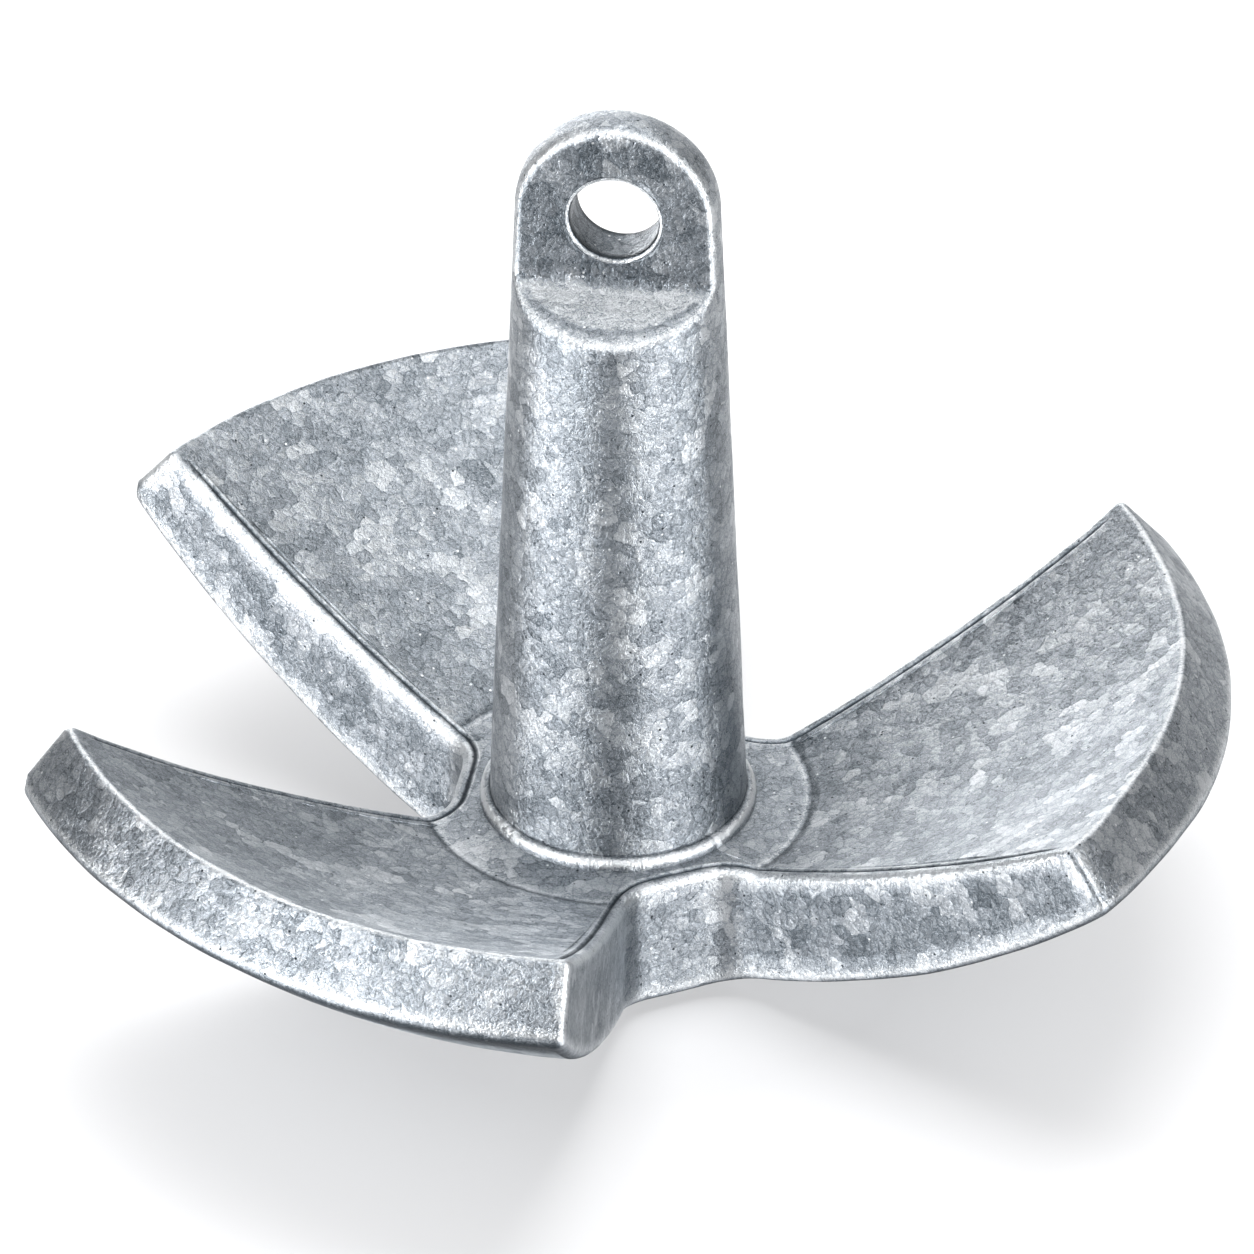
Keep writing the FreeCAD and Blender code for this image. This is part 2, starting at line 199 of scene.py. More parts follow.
def grid_faces(rows, columns):
    """Quads between neighbouring rows of a grid whose columns close into a ring."""
    row = np.arange(rows - 1)[:, None]
    column = np.arange(columns)[None, :]
    after = (column + 1) % columns
    corners = (row * columns + column, row * columns + after, (row + 1) * columns + after,
               (row + 1) * columns + column)
    return np.stack(corners, axis=-1).reshape(-1, 4)


def fan(pole, ring, flip):
    """Triangles from a pole to a ring of points."""
    after = np.roll(ring, -1)
    middle = np.full(len(ring), pole)
    order = (middle, after, ring) if flip else (middle, ring, after)
    return np.stack(order, axis=-1)


def ease(share):
    """A share from 0 to 1, made slow at both ends: three squares less two cubes."""
    share = np.clip(share, 0.0, 1.0)
    return share * share * (3.0 - 2.0 * share)


def bell(distance, width):
    """A smooth bump: e to the minus square of a distance over a width."""
    return np.exp(-(distance / width) ** 2)


def rounded(before, edge, after, steps):
    """Rows of a round edge: a conic from one point to another that leans on the sharp edge.

    The edge's weight of 0.72 is close to the 0.71 that makes a right angle a quarter circle.
    """
    share = np.linspace(0.0, 1.0, steps)[:, None, None]
    parts = ((1.0 - share) ** 2, 2.0 * share * (1.0 - share) * 0.72, share ** 2)
    return (parts[0] * before + parts[1] * edge + parts[2] * after) / sum(parts)


def casting_waves(points, seed):
    """Low waves over space, from about -1 to 1: a mean of sines along seeded directions."""
    count, shortest, longest = WAVES
    chance = np.random.default_rng(seed)
    directions = chance.normal(size=(count, 3))
    directions /= np.linalg.norm(directions, axis=1)[:, None]
    lengths = np.exp(chance.uniform(np.log(shortest), np.log(longest), count))
    phases = chance.uniform(0.0, math.tau, count)
    turns = points @ (directions / lengths[:, None]).T * math.tau + phases
    return np.sin(turns).sum(axis=1) / math.sqrt(count) / 1.6


def corner_normals(points, faces):
    """Unit normals of the points: the sums of the normals of the faces round them.

    A face's normal is the cross product of its diagonals, and a triangle counts its first
    corner twice.
    """
    quads = np.asarray([list(face) + [face[0]] * (4 - len(face)) for face in faces])
    across = points[quads[:, 2]] - points[quads[:, 0]]
    along = points[quads[:, 3]] - points[quads[:, 1]]
    turned = np.cross(across, along)
    normals = np.zeros_like(points)
    for place in range(4):
        np.add.at(normals, quads[:, place], turned)
    return normals / np.maximum(np.linalg.norm(normals, axis=1), 1e-9)[:, None]


def waved(points, faces, seed, depth):
    """Points sunk along their normals by low waves, by up to about that depth."""
    sunk = depth * (0.5 + 0.5 * casting_waves(points, seed))
    return points - corner_normals(points, faces) * sunk[:, None]


def sagging_arc(distance, start, end, curve):
    """Height at a distance on the arc of that radius which sags below its two ends' chord."""
    half = math.hypot(end[0] - start[0], end[1] - start[1]) / 2.0
    lift = math.sqrt(curve ** 2 - half ** 2) / (2.0 * half)
    centre = ((start[0] + end[0]) / 2.0 - lift * (end[1] - start[1]),
              (start[1] + end[1]) / 2.0 + lift * (end[0] - start[0]))
    return centre[1] - np.sqrt(curve ** 2 - (distance - centre[0]) ** 2)


def upper_height(radius):
    """Height of the deck and the flukes' hollow faces: the higher of the deck and the arc.

    The two blend where they meet: half of their difference plus the root of its square and a
    small number.
    """
    arc = sagging_arc(radius, (DECK_EDGE, DECK_HEIGHT), (RIM_TOP, RIM_HEIGHT), UPPER_CURVE)
    rise = arc - DECK_HEIGHT
    return DECK_HEIGHT + (rise + np.sqrt(rise ** 2 + 0.04)) / 2.0


def belly_height(radius):
    """Height of the rounded underside: an arc from the foot's edge out to the rim."""
    arc = sagging_arc(radius, (FOOT_EDGE, 0.0), (RIM_FOOT, RIM_FOOT_HEIGHT), BELLY_CURVE)
    return np.where(radius < FOOT_EDGE, 0.0, np.maximum(arc, 0.0))


def lifted(plan, height_at):
    """Points of the plan lifted onto a face, whose height is a function of the radius."""
    radius = np.linalg.norm(plan, axis=-1)
    return np.concatenate([plan, height_at(radius)[..., None]], axis=-1)


def round_the_axis(angle):
    """Unit vectors in plan at those angles."""
    return np.stack([np.cos(angle), np.sin(angle)], axis=-1)


def plan_outline(inset, rim, corner):
    """The closed outline seen from above, moved inward by an inset.

    Half a fluke is the notch's end wall, an arc round the notch's corner, a straight side, a
    small arc at the rim's corner and the rim's arc. It is mirrored and turned to all three.
    """
    on_wall, on_bend, on_side, on_tip, on_rim = (np.linspace(0.0, 1.0, steps)
                                                 for steps in OUTLINE_STEPS)
    away = np.array([math.cos(NOTCH_SIDE), math.sin(NOTCH_SIDE)])
    inward = np.array([-away[1], away[0]])
    wall = NOTCH_WALL - inset
    hinge = np.array([NOTCH_WALL + NOTCH_CORNER, NOTCH_HALF])
    reach = NOTCH_CORNER + inset
    end_wall = np.stack([np.full_like(on_wall, wall), on_wall * NOTCH_HALF], axis=-1)
    bend = hinge + reach * round_the_axis(math.pi - on_bend * (math.pi / 2.0 - NOTCH_SIDE))
    side_start = hinge + reach * inward
    turn = max(corner - inset, 0.3)
    inner = side_start + turn * inward
    along = inner @ away
    limit = (rim - inset - turn) ** 2
    distance = -along + math.sqrt(along ** 2 - inner @ inner + limit)
    centre = inner + distance * away
    side_end = side_start + distance * away
    side = side_start + on_side[:, None] * (side_end - side_start)
    first = NOTCH_SIDE - math.pi / 2.0
    last = math.atan2(centre[1], centre[0])
    tip = centre + turn * round_the_axis(first + on_tip * (last - first))
    rim_arc = (rim - inset) * round_the_axis(last + on_rim * (math.pi / 3.0 - last))
    half = np.vstack([end_wall[:-1], bend[:-1], side[:-1], tip[:-1], rim_arc])
    twice = 2 * math.pi / 3.0
    mirror = np.array([[math.cos(twice), math.sin(twice)], [math.sin(twice), -math.cos(twice)]])
    fluke = np.vstack([half, (half @ mirror)[-2:0:-1]])
    spins = [np.array([[math.cos(azimuth), math.sin(azimuth)],
                       [-math.sin(azimuth), math.cos(azimuth)]]) for azimuth in NOTCHES]
    return np.vstack([fluke @ spin for spin in spins])


def crossing(start, way, radius):
    """The share of each way at which it meets a circle round the axis, a quadratic's root."""
    a = (way ** 2).sum(axis=1)
    b = (start * way).sum(axis=1)
    c = (start ** 2).sum(axis=1) - radius ** 2
    return (-b + np.sqrt(np.maximum(b ** 2 - a * c, 0.0))) / a


def side_frame(azimuth, turn):
    """A fluke's side: unit vectors along it and out of it, and its distance from the axis."""
    way = math.radians(azimuth) + turn * (math.pi / 3.0 - NOTCH_SIDE)
    along = np.array([math.cos(way), math.sin(way)])
    offset = ((NOTCH_WALL + NOTCH_CORNER) * math.sin(NOTCH_SIDE)
              - NOTCH_HALF * math.cos(NOTCH_SIDE) - NOTCH_CORNER)
    return along, turn * np.array([-along[1], along[0]]), offset


def rim_corners():
    """The six corners where a side meets the circle of the rim's upper edge."""
    frames = [side_frame(azimuth, turn) for azimuth, turn, *_ in UNEVEN_SIDES]
    return np.array([along * math.sqrt(RIM_TOP ** 2 - offset ** 2) + out * offset
                     for along, out, offset in frames])


def compass(plan):
    """The azimuth of points in degrees, from 0 to 360."""
    return np.degrees(np.arctan2(plan[:, 1], plan[:, 0])) % 360.0


def cast_unevenly(points):
    """Points of the flukes moved to where this casting has them.

    A point near a side moves square to it, by a share between the upper and the lower edge's
    shift, and fades inward as a bell. Near a rim's corner it also moves away from the axis, and
    the lower edge of a thin rim rises.
    """
    plan = points[:, :2]
    radius = np.linalg.norm(plan, axis=1)
    top = upper_height(radius)
    drop = np.clip((top - points[:, 2]) / np.maximum(top - belly_height(radius), 1.0), 0.0, 1.0)
    moved = points.copy()
    for (azimuth, turn, upper, lower, reach), corner in zip(UNEVEN_SIDES, rim_corners()):
        along, out, offset = side_frame(azimuth, turn)
        inside = offset - plan @ out
        fade = np.where(inside > 0.0, bell(inside, INWARD_FADE), bell(inside, OUTWARD_FADE))
        fade = fade * ease((plan @ along - SHIFT_START[0]) / SHIFT_START[1])
        shift = (upper + (lower - upper) * drop) * fade
        moved[:, :2] += shift[:, None] * out
        near = bell(np.linalg.norm(plan - corner, axis=1), CORNER_FADE) * reach
        moved[:, :2] += (near / np.maximum(radius, 1.0))[:, None] * plan
        moved[:, 2] += near * REACH_RISE
    outer = ease((radius - THIN_START[0]) / THIN_START[1])
    for azimuth, half_width, rise in THIN_RIMS:
        moved[:, 2] += rise * drop * bell(compass(points) - azimuth, half_width) * outer
    return moved


def flukes_surface(sizes):
    """The hub and its flukes as rows of points, from the top's pole to the foot's pole.

    The rows run out over the deck and the hollow faces, round the edge, down the walls, round
    the lower edge and back along the belly. Columns run out to evenly spread border points.
    Powers of the rows' shares crowd the rows where the surface turns.
    """
    low_edge = sizes.low_edge_round
    groove = sizes.groove_from_edge
    border_top = plan_outline(0.0, RIM_TOP, sizes.corner_round)
    border_low = plan_outline(0.0, RIM_FOOT, sizes.corner_round)
    by_notch = ease((RIM_TOP - 0.5 - np.linalg.norm(border_top, axis=1)) / 7.0)
    edge = sizes.rim_edge_round + (sizes.edge_round - sizes.rim_edge_round) * by_notch
    insets = groove + BAND
    band = np.stack([plan_outline(inset, RIM_TOP, sizes.corner_round) for inset in insets])
    around = np.unwrap(np.arctan2(band[0][:, 1], band[0][:, 0]))
    spread = np.linspace(around[0], around[0] + math.tau, len(border_top), endpoint=False)
    azimuth = FOLLOW * around + (1.0 - FOLLOW) * spread
    ring = TOP_RING * round_the_axis(azimuth)
    way = band[0] - ring
    crease = np.clip(crossing(ring, way, DECK_EDGE), 0.05, 0.92)[None, :, None]
    near = (1.0 - (1.0 - np.linspace(0.0, 1.0, 10)) ** 1.4)[:-1, None, None]
    far = (np.linspace(0.0, 1.0, 34) ** 1.45)[:-1, None, None]
    shares = np.concatenate([crease * near, crease + (1.0 - crease) * far])
    inner_rows = lifted(ring + shares * way, upper_height)
    band_rows = lifted(band, upper_height)
    lip = bell(insets - groove - LIP[0], LIP[1])[:, None] * by_notch
    sunk = bell(insets - groove, GROOVE_WIDTH)[:, None] * by_notch
    band_rows[..., 2] += sizes.groove_depth * (0.4 * lip - sunk)
    top_edge = lifted(border_top, upper_height)
    foot_edge = lifted(border_low, belly_height)
    down = foot_edge - top_edge
    height = np.linalg.norm(down, axis=1)[:, None]
    edge_plan = border_top + (band[-1] - border_top) * (edge / insets[-1])[:, None]
    edge_row = lifted(edge_plan, upper_height)
    below = top_edge + down * (edge[:, None] / height)
    above = foot_edge - down * (low_edge / height)
    wall = below + WALL_STEPS[:, None, None] * (above - below)
    low_in = lifted(plan_outline(low_edge, RIM_FOOT, sizes.corner_round), belly_height)
    foot_ring = FOOT_RING * round_the_axis(azimuth)
    back = 1.0 - np.linspace(0.0, 1.0, 20)[1:, None, None] ** 1.15
    belly_rows = lifted(foot_ring + back * (low_in[:, :2] - foot_ring), belly_height)
    upper_round = rounded(edge_row[None], top_edge[None], below[None], len(NOTCH_EDGE_HIGHLIGHT))
    lower_round = rounded(above[None], foot_edge[None], low_in[None], 7)
    rows = np.concatenate([inner_rows, band_rows, upper_round, wall, lower_round, belly_rows])
    painted_tone = np.zeros(rows.shape[:2])
    band_start = len(inner_rows)
    radius = np.linalg.norm(inner_rows[..., :2], axis=2)
    # A painted highlight just inside the deck's crease and painted shade just past it.
    painted_tone[:band_start] = (0.6 * bell(radius - DECK_EDGE + 0.9, 0.8)
                         - 0.55 * bell(radius - DECK_EDGE - 0.7, 0.8))
    # A painted highlight on the raised lip and painted shade in the sunken line.
    painted_tone[band_start:band_start + len(band)] = 0.5 * lip - sunk
    outer_painted_tone(painted_tone[band_start + len(band):], border_top, by_notch)
    return rows, painted_tone


def outer_painted_tone(painted_tone, border, by_notch):
    """Write the painted tone of the rows from the upper round edge down into those rows.

    Edges get painted highlights, and one rim's edge a painted dark line instead. The corners get a
    painted highlight from top to bottom, and one of them a painted dark line. Each side gets a
    painted tone of its own, and the lower edges a painted highlight above painted shade.
    """
    wall_start = len(NOTCH_EDGE_HIGHLIGHT)
    wall_end = wall_start + len(WALL_STEPS)
    painted_tone[:wall_start] = NOTCH_EDGE_HIGHLIGHT * by_notch + RIM_EDGE_HIGHLIGHT * (1.0 - by_notch)
    painted_tone[wall_start:wall_start + len(NOTCH_WALL_HIGHLIGHT)] = NOTCH_WALL_HIGHLIGHT * by_notch
    # One rim's edge: its painted highlight is turned into a painted dark line.
    painted_dark_rim_edge = bell(compass(border) - DARK_EDGED_RIM[0], DARK_EDGED_RIM[1]) * (1.0 - by_notch)
    painted_tone[:wall_start] -= 1.5 * painted_dark_rim_edge * painted_tone[:wall_start]
    # A painted tone on each side.
    for (azimuth, turn, *_), tone in zip(UNEVEN_SIDES, SIDE_PAINTED_TONE):
        along, out, offset = side_frame(azimuth, turn)
        beside = bell(border @ out - offset, 0.8) * ease((border @ along - 20.0) / 12.0)
        painted_tone[wall_start + 1:wall_end] += tone * beside
    # Painted highlights down the corners, and a painted dark line down one of them.
    gaps = np.linalg.norm(border[:, None] - rim_corners()[None], axis=2)
    upright = 0.9 * bell(gaps.min(axis=1), 2.6) - 1.9 * bell(gaps[:, DARK_LINE_CORNER], 0.9)
    down = slice(wall_start - 3, wall_end)
    painted_tone[down] = np.where(np.abs(upright) > 0.05, upright, painted_tone[down])
    # A painted highlight at the top of the lower round edge, and painted shade under it.
    painted_tone[wall_end - 1:wall_end - 1 + len(LOW_EDGE_HIGHLIGHT_AND_SHADE)] = LOW_EDGE_HIGHLIGHT_AND_SHADE


def shank_profile():
    """Radius and height of the turned shank, from inside the hub over the bead to the head's top.

    The bead is an arc, the shank a cone that runs tangent into the head's arc.
    """
    rise = math.hypot(EYE_HEIGHT - DECK_HEIGHT, SHANK_ROOT)
    lean = math.acos(HEAD_RADIUS / rise) - math.atan2(EYE_HEIGHT - DECK_HEIGHT, SHANK_ROOT)
    touch = (HEAD_RADIUS * math.cos(lean), EYE_HEIGHT + HEAD_RADIUS * math.sin(lean))
    angle = np.radians(BEAD_ANGLES)
    bead_radius = BEAD[0] + BEAD[2] * np.cos(angle)
    bead_height = BEAD[1] + BEAD[2] * np.sin(angle)
    grade = (touch[0] - SHANK_ROOT) / (touch[1] - DECK_HEIGHT)
    last = np.linspace(SHANK_RUNS[-1][1], touch[1], 12)[1:]
    heights = np.concatenate([np.linspace(*run) for run in SHANK_RUNS] + [last])
    radii = SHANK_ROOT + grade * (heights - DECK_HEIGHT)
    turn = np.linspace(lean, math.pi / 2.0, 44)[1:-1]
    radius = np.concatenate([bead_radius, radii, HEAD_RADIUS * np.cos(turn)])
    height = np.concatenate([bead_height, heights, EYE_HEIGHT + HEAD_RADIUS * np.sin(turn)])
    return radius, height


def smooth_least(one, other, width):
    """The lesser of two lengths, rounded where they are within a width of each other."""
    near = np.maximum(width - np.abs(one - other), 0.0) / width
    return np.minimum(one, other) - near * near * width / 4.0


def tang_half(height):
    """Half the thickness across the tang: flat faces that part into a sloping shoulder."""
    below = TANG_HALF + np.maximum(SHOULDER_HEIGHT - height, -60.0) / SHOULDER_SLOPE
    return -smooth_least(-below, -TANG_HALF * np.ones_like(height), SHOULDER_BLEND)


def shank_painted_tone(rise, depth, half, tang_round):
    """Painted tone of the shank's rows, from how far the tang's cut lies under the round shank.

    The cut's edges get a painted highlight, its flat face painted shade and the shoulder under it
    painted light. A painted dark line runs inside the shoulder's edge, and the bead has a painted
    highlight on top and painted shade where it meets the shank and at its foot.
    """
    past = depth - half
    # A painted highlight along the cut's edges.
    edge = np.where((rise > 158.0) & (depth > 0.5), bell(past - 0.4, tang_round), 0.0)
    flat = ease((past - 2.4) / 2.4)
    shoulder = ease((half - TANG_HALF - 0.3) / 2.2)
    # Painted shade on the flat face and painted light on the shoulder.
    painted_tone = 0.68 * edge + flat * (0.84 * shoulder - 0.28)
    # A painted dark line just inside the shoulder's edge.
    painted_tone -= np.where(rise < SHOULDER_HEIGHT - 1.0, 0.7 * bell(past - 4.4, 0.7), 0.0)
    # A painted highlight on the bead's top, and painted shade where it meets the shank and at its
    # foot.
    bead = 1.1 * bell(BEAD_ANGLES - 42.0, 26.0) - 0.6 * bell(BEAD_ANGLES - 95.0, 10.0)
    painted_tone[:len(bead)] = (bead - 0.8 * bell(BEAD_ANGLES + 55.0, 22.0))[:, None]
    return painted_tone


def eye_tube(rim, eye_round):
    """The eye's wall as rings of points from one face to the other, and each ring's painted tone.

    A ring is a circle round the bore, and its radius follows a quarter circle at each edge.
    """
    hole = EYE_RADIUS + eye_round
    facing = np.arctan2(rim[:, 2] - EYE_HEIGHT, rim[:, 0])
    turn = np.linspace(0.0, math.pi / 2.0, len(EYE_EDGE_HIGHLIGHT_AND_SHADE) + 1)[1:]
    straight = np.full(BORE_RINGS, EYE_RADIUS)
    radius = np.concatenate([hole - eye_round * np.sin(turn), straight,
                             hole - eye_round * np.sin(turn[::-1])])
    entry = float(np.abs(rim[:, 1]).mean()) - eye_round * (1.0 - np.cos(turn))
    bore = np.linspace(entry[-1], -entry[-1], BORE_RINGS + 2)[1:-1]
    depth = np.concatenate([entry, bore, -entry[::-1]])
    tube = np.stack([radius[:, None] * np.cos(facing),
                     np.repeat(depth[:, None], len(facing), axis=1),
                     EYE_HEIGHT + radius[:, None] * np.sin(facing)], axis=-1)
    # A painted highlight on the outer part of the round edges, and painted shade on their inner
    # part and in the bore.
    painted_tone = np.concatenate([EYE_EDGE_HIGHLIGHT_AND_SHADE, np.full(BORE_RINGS, BORE_PAINTED_SHADE), EYE_EDGE_HIGHLIGHT_AND_SHADE[::-1]])
    return tube, painted_tone


def shank_surface(sizes):
    """The shank, tang and eye as a grid: angle round the axis by height along the profile.

    Each row is a circle pressed flat between the tang's faces. Points on those faces move
    outward round the eye until the innermost lie on its circle, and a tube joins both faces.
    """
    radius, height = shank_profile()
    columns = SHANK_COLUMNS
    angle = np.linspace(0.0, math.tau, columns, endpoint=False)
    across = radius[:, None] * np.cos(angle)[None, :]
    rise = np.repeat(height[:, None], columns, axis=1)
    nominal = HEAD_RADIUS * np.cos(angle)
    hole = EYE_RADIUS + sizes.eye_round
    start = int(np.argmin(np.abs(height - (EYE_HEIGHT - EYE_SQUARE * hole))))
    stop = int(np.argmin(np.abs(height - (EYE_HEIGHT + EYE_SQUARE * hole))))
    left = int(np.argmin(np.abs(nominal[:columns // 2] - EYE_SQUARE * hole)))
    right = columns // 2 - left
    lift = rise - EYE_HEIGHT
    side_share = np.abs(nominal)[None, :] / nominal[left]
    lift_share = np.where(lift < 0.0, lift / lift[start], lift / lift[stop])
    square = np.maximum(np.maximum(side_share, lift_share), 1e-6)
    distance = np.maximum(np.hypot(across, lift), 1e-6)
    on_face = (radius[:, None] > TANG_HALF) & (np.abs(lift) < 16.0) & (square > 0.999)
    fade = np.clip((1.0 + EYE_FADE - square) / EYE_FADE, 0.0, 1.0) ** 1.5
    moved = np.where(on_face, distance + (hole - distance / square) * fade, distance)
    across = across * moved / distance
    rise = EYE_HEIGHT + lift * moved / distance
    profile = np.interp(rise, height, radius)
    on_profile = np.sqrt(np.maximum(profile ** 2 - across ** 2, 0.0))
    plain = radius[:, None] * np.abs(np.sin(angle))[None, :]
    depth = np.where(on_face & (fade > 0.0), on_profile, plain)
    half = tang_half(rise)
    pressed = smooth_least(depth, half, sizes.tang_round * 1.8)
    pressed = np.where(rise > PRESSED_FROM, np.maximum(pressed, 0.0), depth)
    pressed = np.where(depth < 1e-6, 0.0, pressed)
    side = np.sign(np.sin(angle) + 1e-12)[None, :]
    grid = np.stack([across, pressed * side, rise], axis=-1).reshape(-1, 3)
    faces = grid_faces(len(height), columns)
    face_row, face_column = np.divmod(faces[:, 0], columns)
    front = (face_column >= left) & (face_column < right)
    back = (face_column >= columns - right) & (face_column < columns - left)
    faces = faces[~((face_row >= start) & (face_row < stop) & (front | back))]
    up = np.arange(start, stop)
    over = np.arange(left, right)
    loop_rows = np.concatenate([up, np.full(len(over), stop), up[::-1] + 1,
                                np.full(len(over), start)])
    loop_columns = np.concatenate([np.full(len(up), left), over, np.full(len(up), right),
                                   over[::-1] + 1])
    near_loop = loop_rows * columns + loop_columns
    far_loop = loop_rows * columns + (columns - loop_columns) % columns
    tube, tube_painted_tone = eye_tube(grid[near_loop], sizes.eye_round)
    tube_index = len(grid) + np.arange(tube.shape[0] * tube.shape[1]).reshape(tube.shape[:2])
    index = np.vstack([near_loop[None], tube_index, far_loop[None]])
    after = np.roll(index, -1, axis=1)
    tube_faces = np.stack([index[:-1], after[:-1], after[1:], index[1:]], axis=-1).reshape(-1, 4)
    points = np.vstack([grid, tube.reshape(-1, 3),
                        [[0.0, 0.0, height[0]], [0.0, 0.0, EYE_HEIGHT + HEAD_RADIUS]]])
    painted_tone = shank_painted_tone(rise, depth, half, sizes.tang_round)
    painted_tone = np.concatenate([painted_tone.reshape(-1), np.repeat(tube_painted_tone, tube.shape[1]), [0.0, 0.0]])
    bottom_ring = np.arange(columns)
    top_ring = (len(height) - 1) * columns + bottom_ring
    faces = (faces.tolist() + tube_faces.tolist()
             + fan(len(points) - 2, bottom_ring, True).tolist()
             + fan(len(points) - 1, top_ring, False).tolist())
    return points, faces, painted_tone


def add_node(tree, kind, links=(), **settings):
    """A shader node with its settings; links are (input, value or the output that feeds it)."""
    node = tree.nodes.new("ShaderNode" + kind)
    for name, value in settings.items():
        setattr(node, name, value)
    for socket, source in links:
        if isinstance(source, bpy.types.NodeSocket):
            tree.links.new(source, node.inputs[socket])
        else:
            node.inputs[socket].default_value = source
    return node


def galvanised_iron(finish):
    """Grey iron, sand cast and hot-dip galvanised: crystals of zinc over a grainy skin.

    The eye sees a mottle of round 3 mm scales with thin darker outlines, groups of them that
    make lobed pale flakes 7 mm wide, a scratchy grain under a millimetre, small dark pits and
    bright specks, painted highlights along the edges, and painted shade in grooves and creases.
    The real grain is too fine to show, so it is drawn about twice as coarse. The gloss is
    stretched upwards, which gives the shank its upright bands.
    """
    material = bpy.data.materials.new("hot_dip_galvanised_iron")
    material.use_nodes = True
    tree = material.node_tree
    tree.nodes.clear()
    place = add_node(tree, "TexCoord").outputs["Object"]

    # Patterns.
    lobes = add_node(tree, "TexNoise", [("Vector", place), ("Scale", per_metre(LOBE)),
                                        ("Detail", 2.0)])
    shift = add_node(tree, "VectorMath", [(0, lobes.outputs["Color"]), (1, (0.5, 0.5, 0.5))],
                     operation="SUBTRACT")
    shift = add_node(tree, "VectorMath", [(0, shift.outputs[0]), ("Scale", 0.0018)],
                     operation="SCALE")
    bent = add_node(tree, "VectorMath", [(0, place), (1, shift.outputs[0])], operation="ADD")
    crystals = [("Vector", bent.outputs[0]), ("Scale", per_metre(SCALE)), ("Randomness", 0.9)]
    scales = add_node(tree, "TexVoronoi", crystals)
    outlines = add_node(tree, "TexVoronoi", crystals, feature="DISTANCE_TO_EDGE")
    flakes = add_node(tree, "TexVoronoi", [("Vector", scales.outputs["Position"]),
                                           ("Scale", per_metre(FLAKE))])
    clouds = add_node(tree, "TexNoise", [("Vector", place), ("Scale", per_metre(CLOUD)),
                                         ("Detail", 4.0), ("Roughness", 0.6)])
    grain = add_node(tree, "TexNoise", [("Vector", place), ("Scale", per_metre(GRAIN)),
                                        ("Detail", 3.0), ("Roughness", 0.7),
                                        ("Distortion", 2.2)])
    plates = add_node(tree, "TexNoise", [("Vector", place), ("Scale", per_metre(PLATE)),
                                         ("Detail", 1.6), ("Distortion", 1.3)])
    specks = add_node(tree, "TexVoronoi", [("Vector", place), ("Scale", per_metre(SPECK))])
    flake_tone, scale_tone, speck_tone = (
        add_node(tree, "SeparateColor", [("Color", cells.outputs["Color"])]).outputs
        for cells in (flakes, scales, specks))

    # Parts of the patterns, from 0 to 1.
    pale, cloud, scratch, terrace = (
        add_node(tree, "MapRange", [("Value", value), ("From Min", low), ("From Max", high)])
        for value, low, high in ((flake_tone[0], 0.68, 0.88), (clouds.outputs["Fac"], 0.3, 0.7),
                                 (grain.outputs["Fac"], 0.37, 0.63),
                                 (plates.outputs["Fac"], 0.45, 0.53)))
    seam, dot = (
        add_node(tree, "MapRange", [("Value", cells.outputs["Distance"]), ("From Min", low),
                                    ("From Max", high), ("To Min", 1.0), ("To Max", 0.0)])
        for cells, low, high in ((outlines, 0.02, 0.14), (specks, 0.09, 0.17)))
    below_edge, above_edge = (
        add_node(tree, "Math", [(0, plates.outputs["Fac"]), (1, level), (2, 0.018)],
                 operation="COMPARE") for level in (0.47, 0.507))
    # The pieces' painted tone: a painted highlight above 0, painted shade below 0.
    painted_light_and_shade = add_node(tree, "Attribute", attribute_name="painted_light_and_shade").outputs["Fac"]

    # The zinc's tone, which a ramp turns into its greys; the pieces' painted tone lightens and
    # darkens it.
    tone = add_node(tree, "Math", [(0, flake_tone[1]), (1, 0.12), (2, 0.1)],
                    operation="MULTIPLY_ADD")
    for part, weight in ((below_edge.outputs[0], -0.17), (above_edge.outputs[0], 0.13),
                         (scale_tone[0], 0.19), (cloud.outputs["Result"], 0.16),
                         (scratch.outputs["Result"], 0.29), (pale.outputs["Result"], 0.2),
                         (seam.outputs["Result"], -0.12), (painted_light_and_shade, 0.4)):
        tone = add_node(tree, "Math", [(0, part), (1, weight), (2, tone.outputs[0])],
                        operation="MULTIPLY_ADD")
    mottle = add_node(tree, "ValToRGB", [("Fac", tone.outputs[0])])
    ramp = mottle.color_ramp
    ramp.elements[0].position = 0.1
    ramp.elements[0].color = (*finish.dark_zinc, 1.0)
    ramp.elements[1].position = 0.9
    ramp.elements[1].color = (*finish.bright_zinc, 1.0)
    middle = ramp.elements.new(0.45)
    middle.color = (*finish.zinc, 1.0)

    # Painted highlights of bright zinc and bright specks over it, then pits and painted shade.
    few = add_node(tree, "Math", [(0, speck_tone[0]), (1, 0.15)], operation="LESS_THAN")
    others = add_node(tree, "Math", [(0, speck_tone[0]), (1, 0.9)], operation="GREATER_THAN")
    pit, bright_speck = (
        add_node(tree, "Math", [(0, dot.outputs["Result"]), (1, chosen.outputs[0])],
                 operation="MULTIPLY") for chosen in (few, others))
    # Painted highlight where the painted tone is high, made ragged by the grain.
    ragged = add_node(tree, "Math", [(0, scratch.outputs["Result"]), (1, 0.55), (2, painted_light_and_shade)],
                      operation="MULTIPLY_ADD")
    painted_highlight = add_node(tree, "MapRange", [("Value", ragged.outputs[0]), ("From Min", 0.65),
                                         ("From Max", 1.3)])
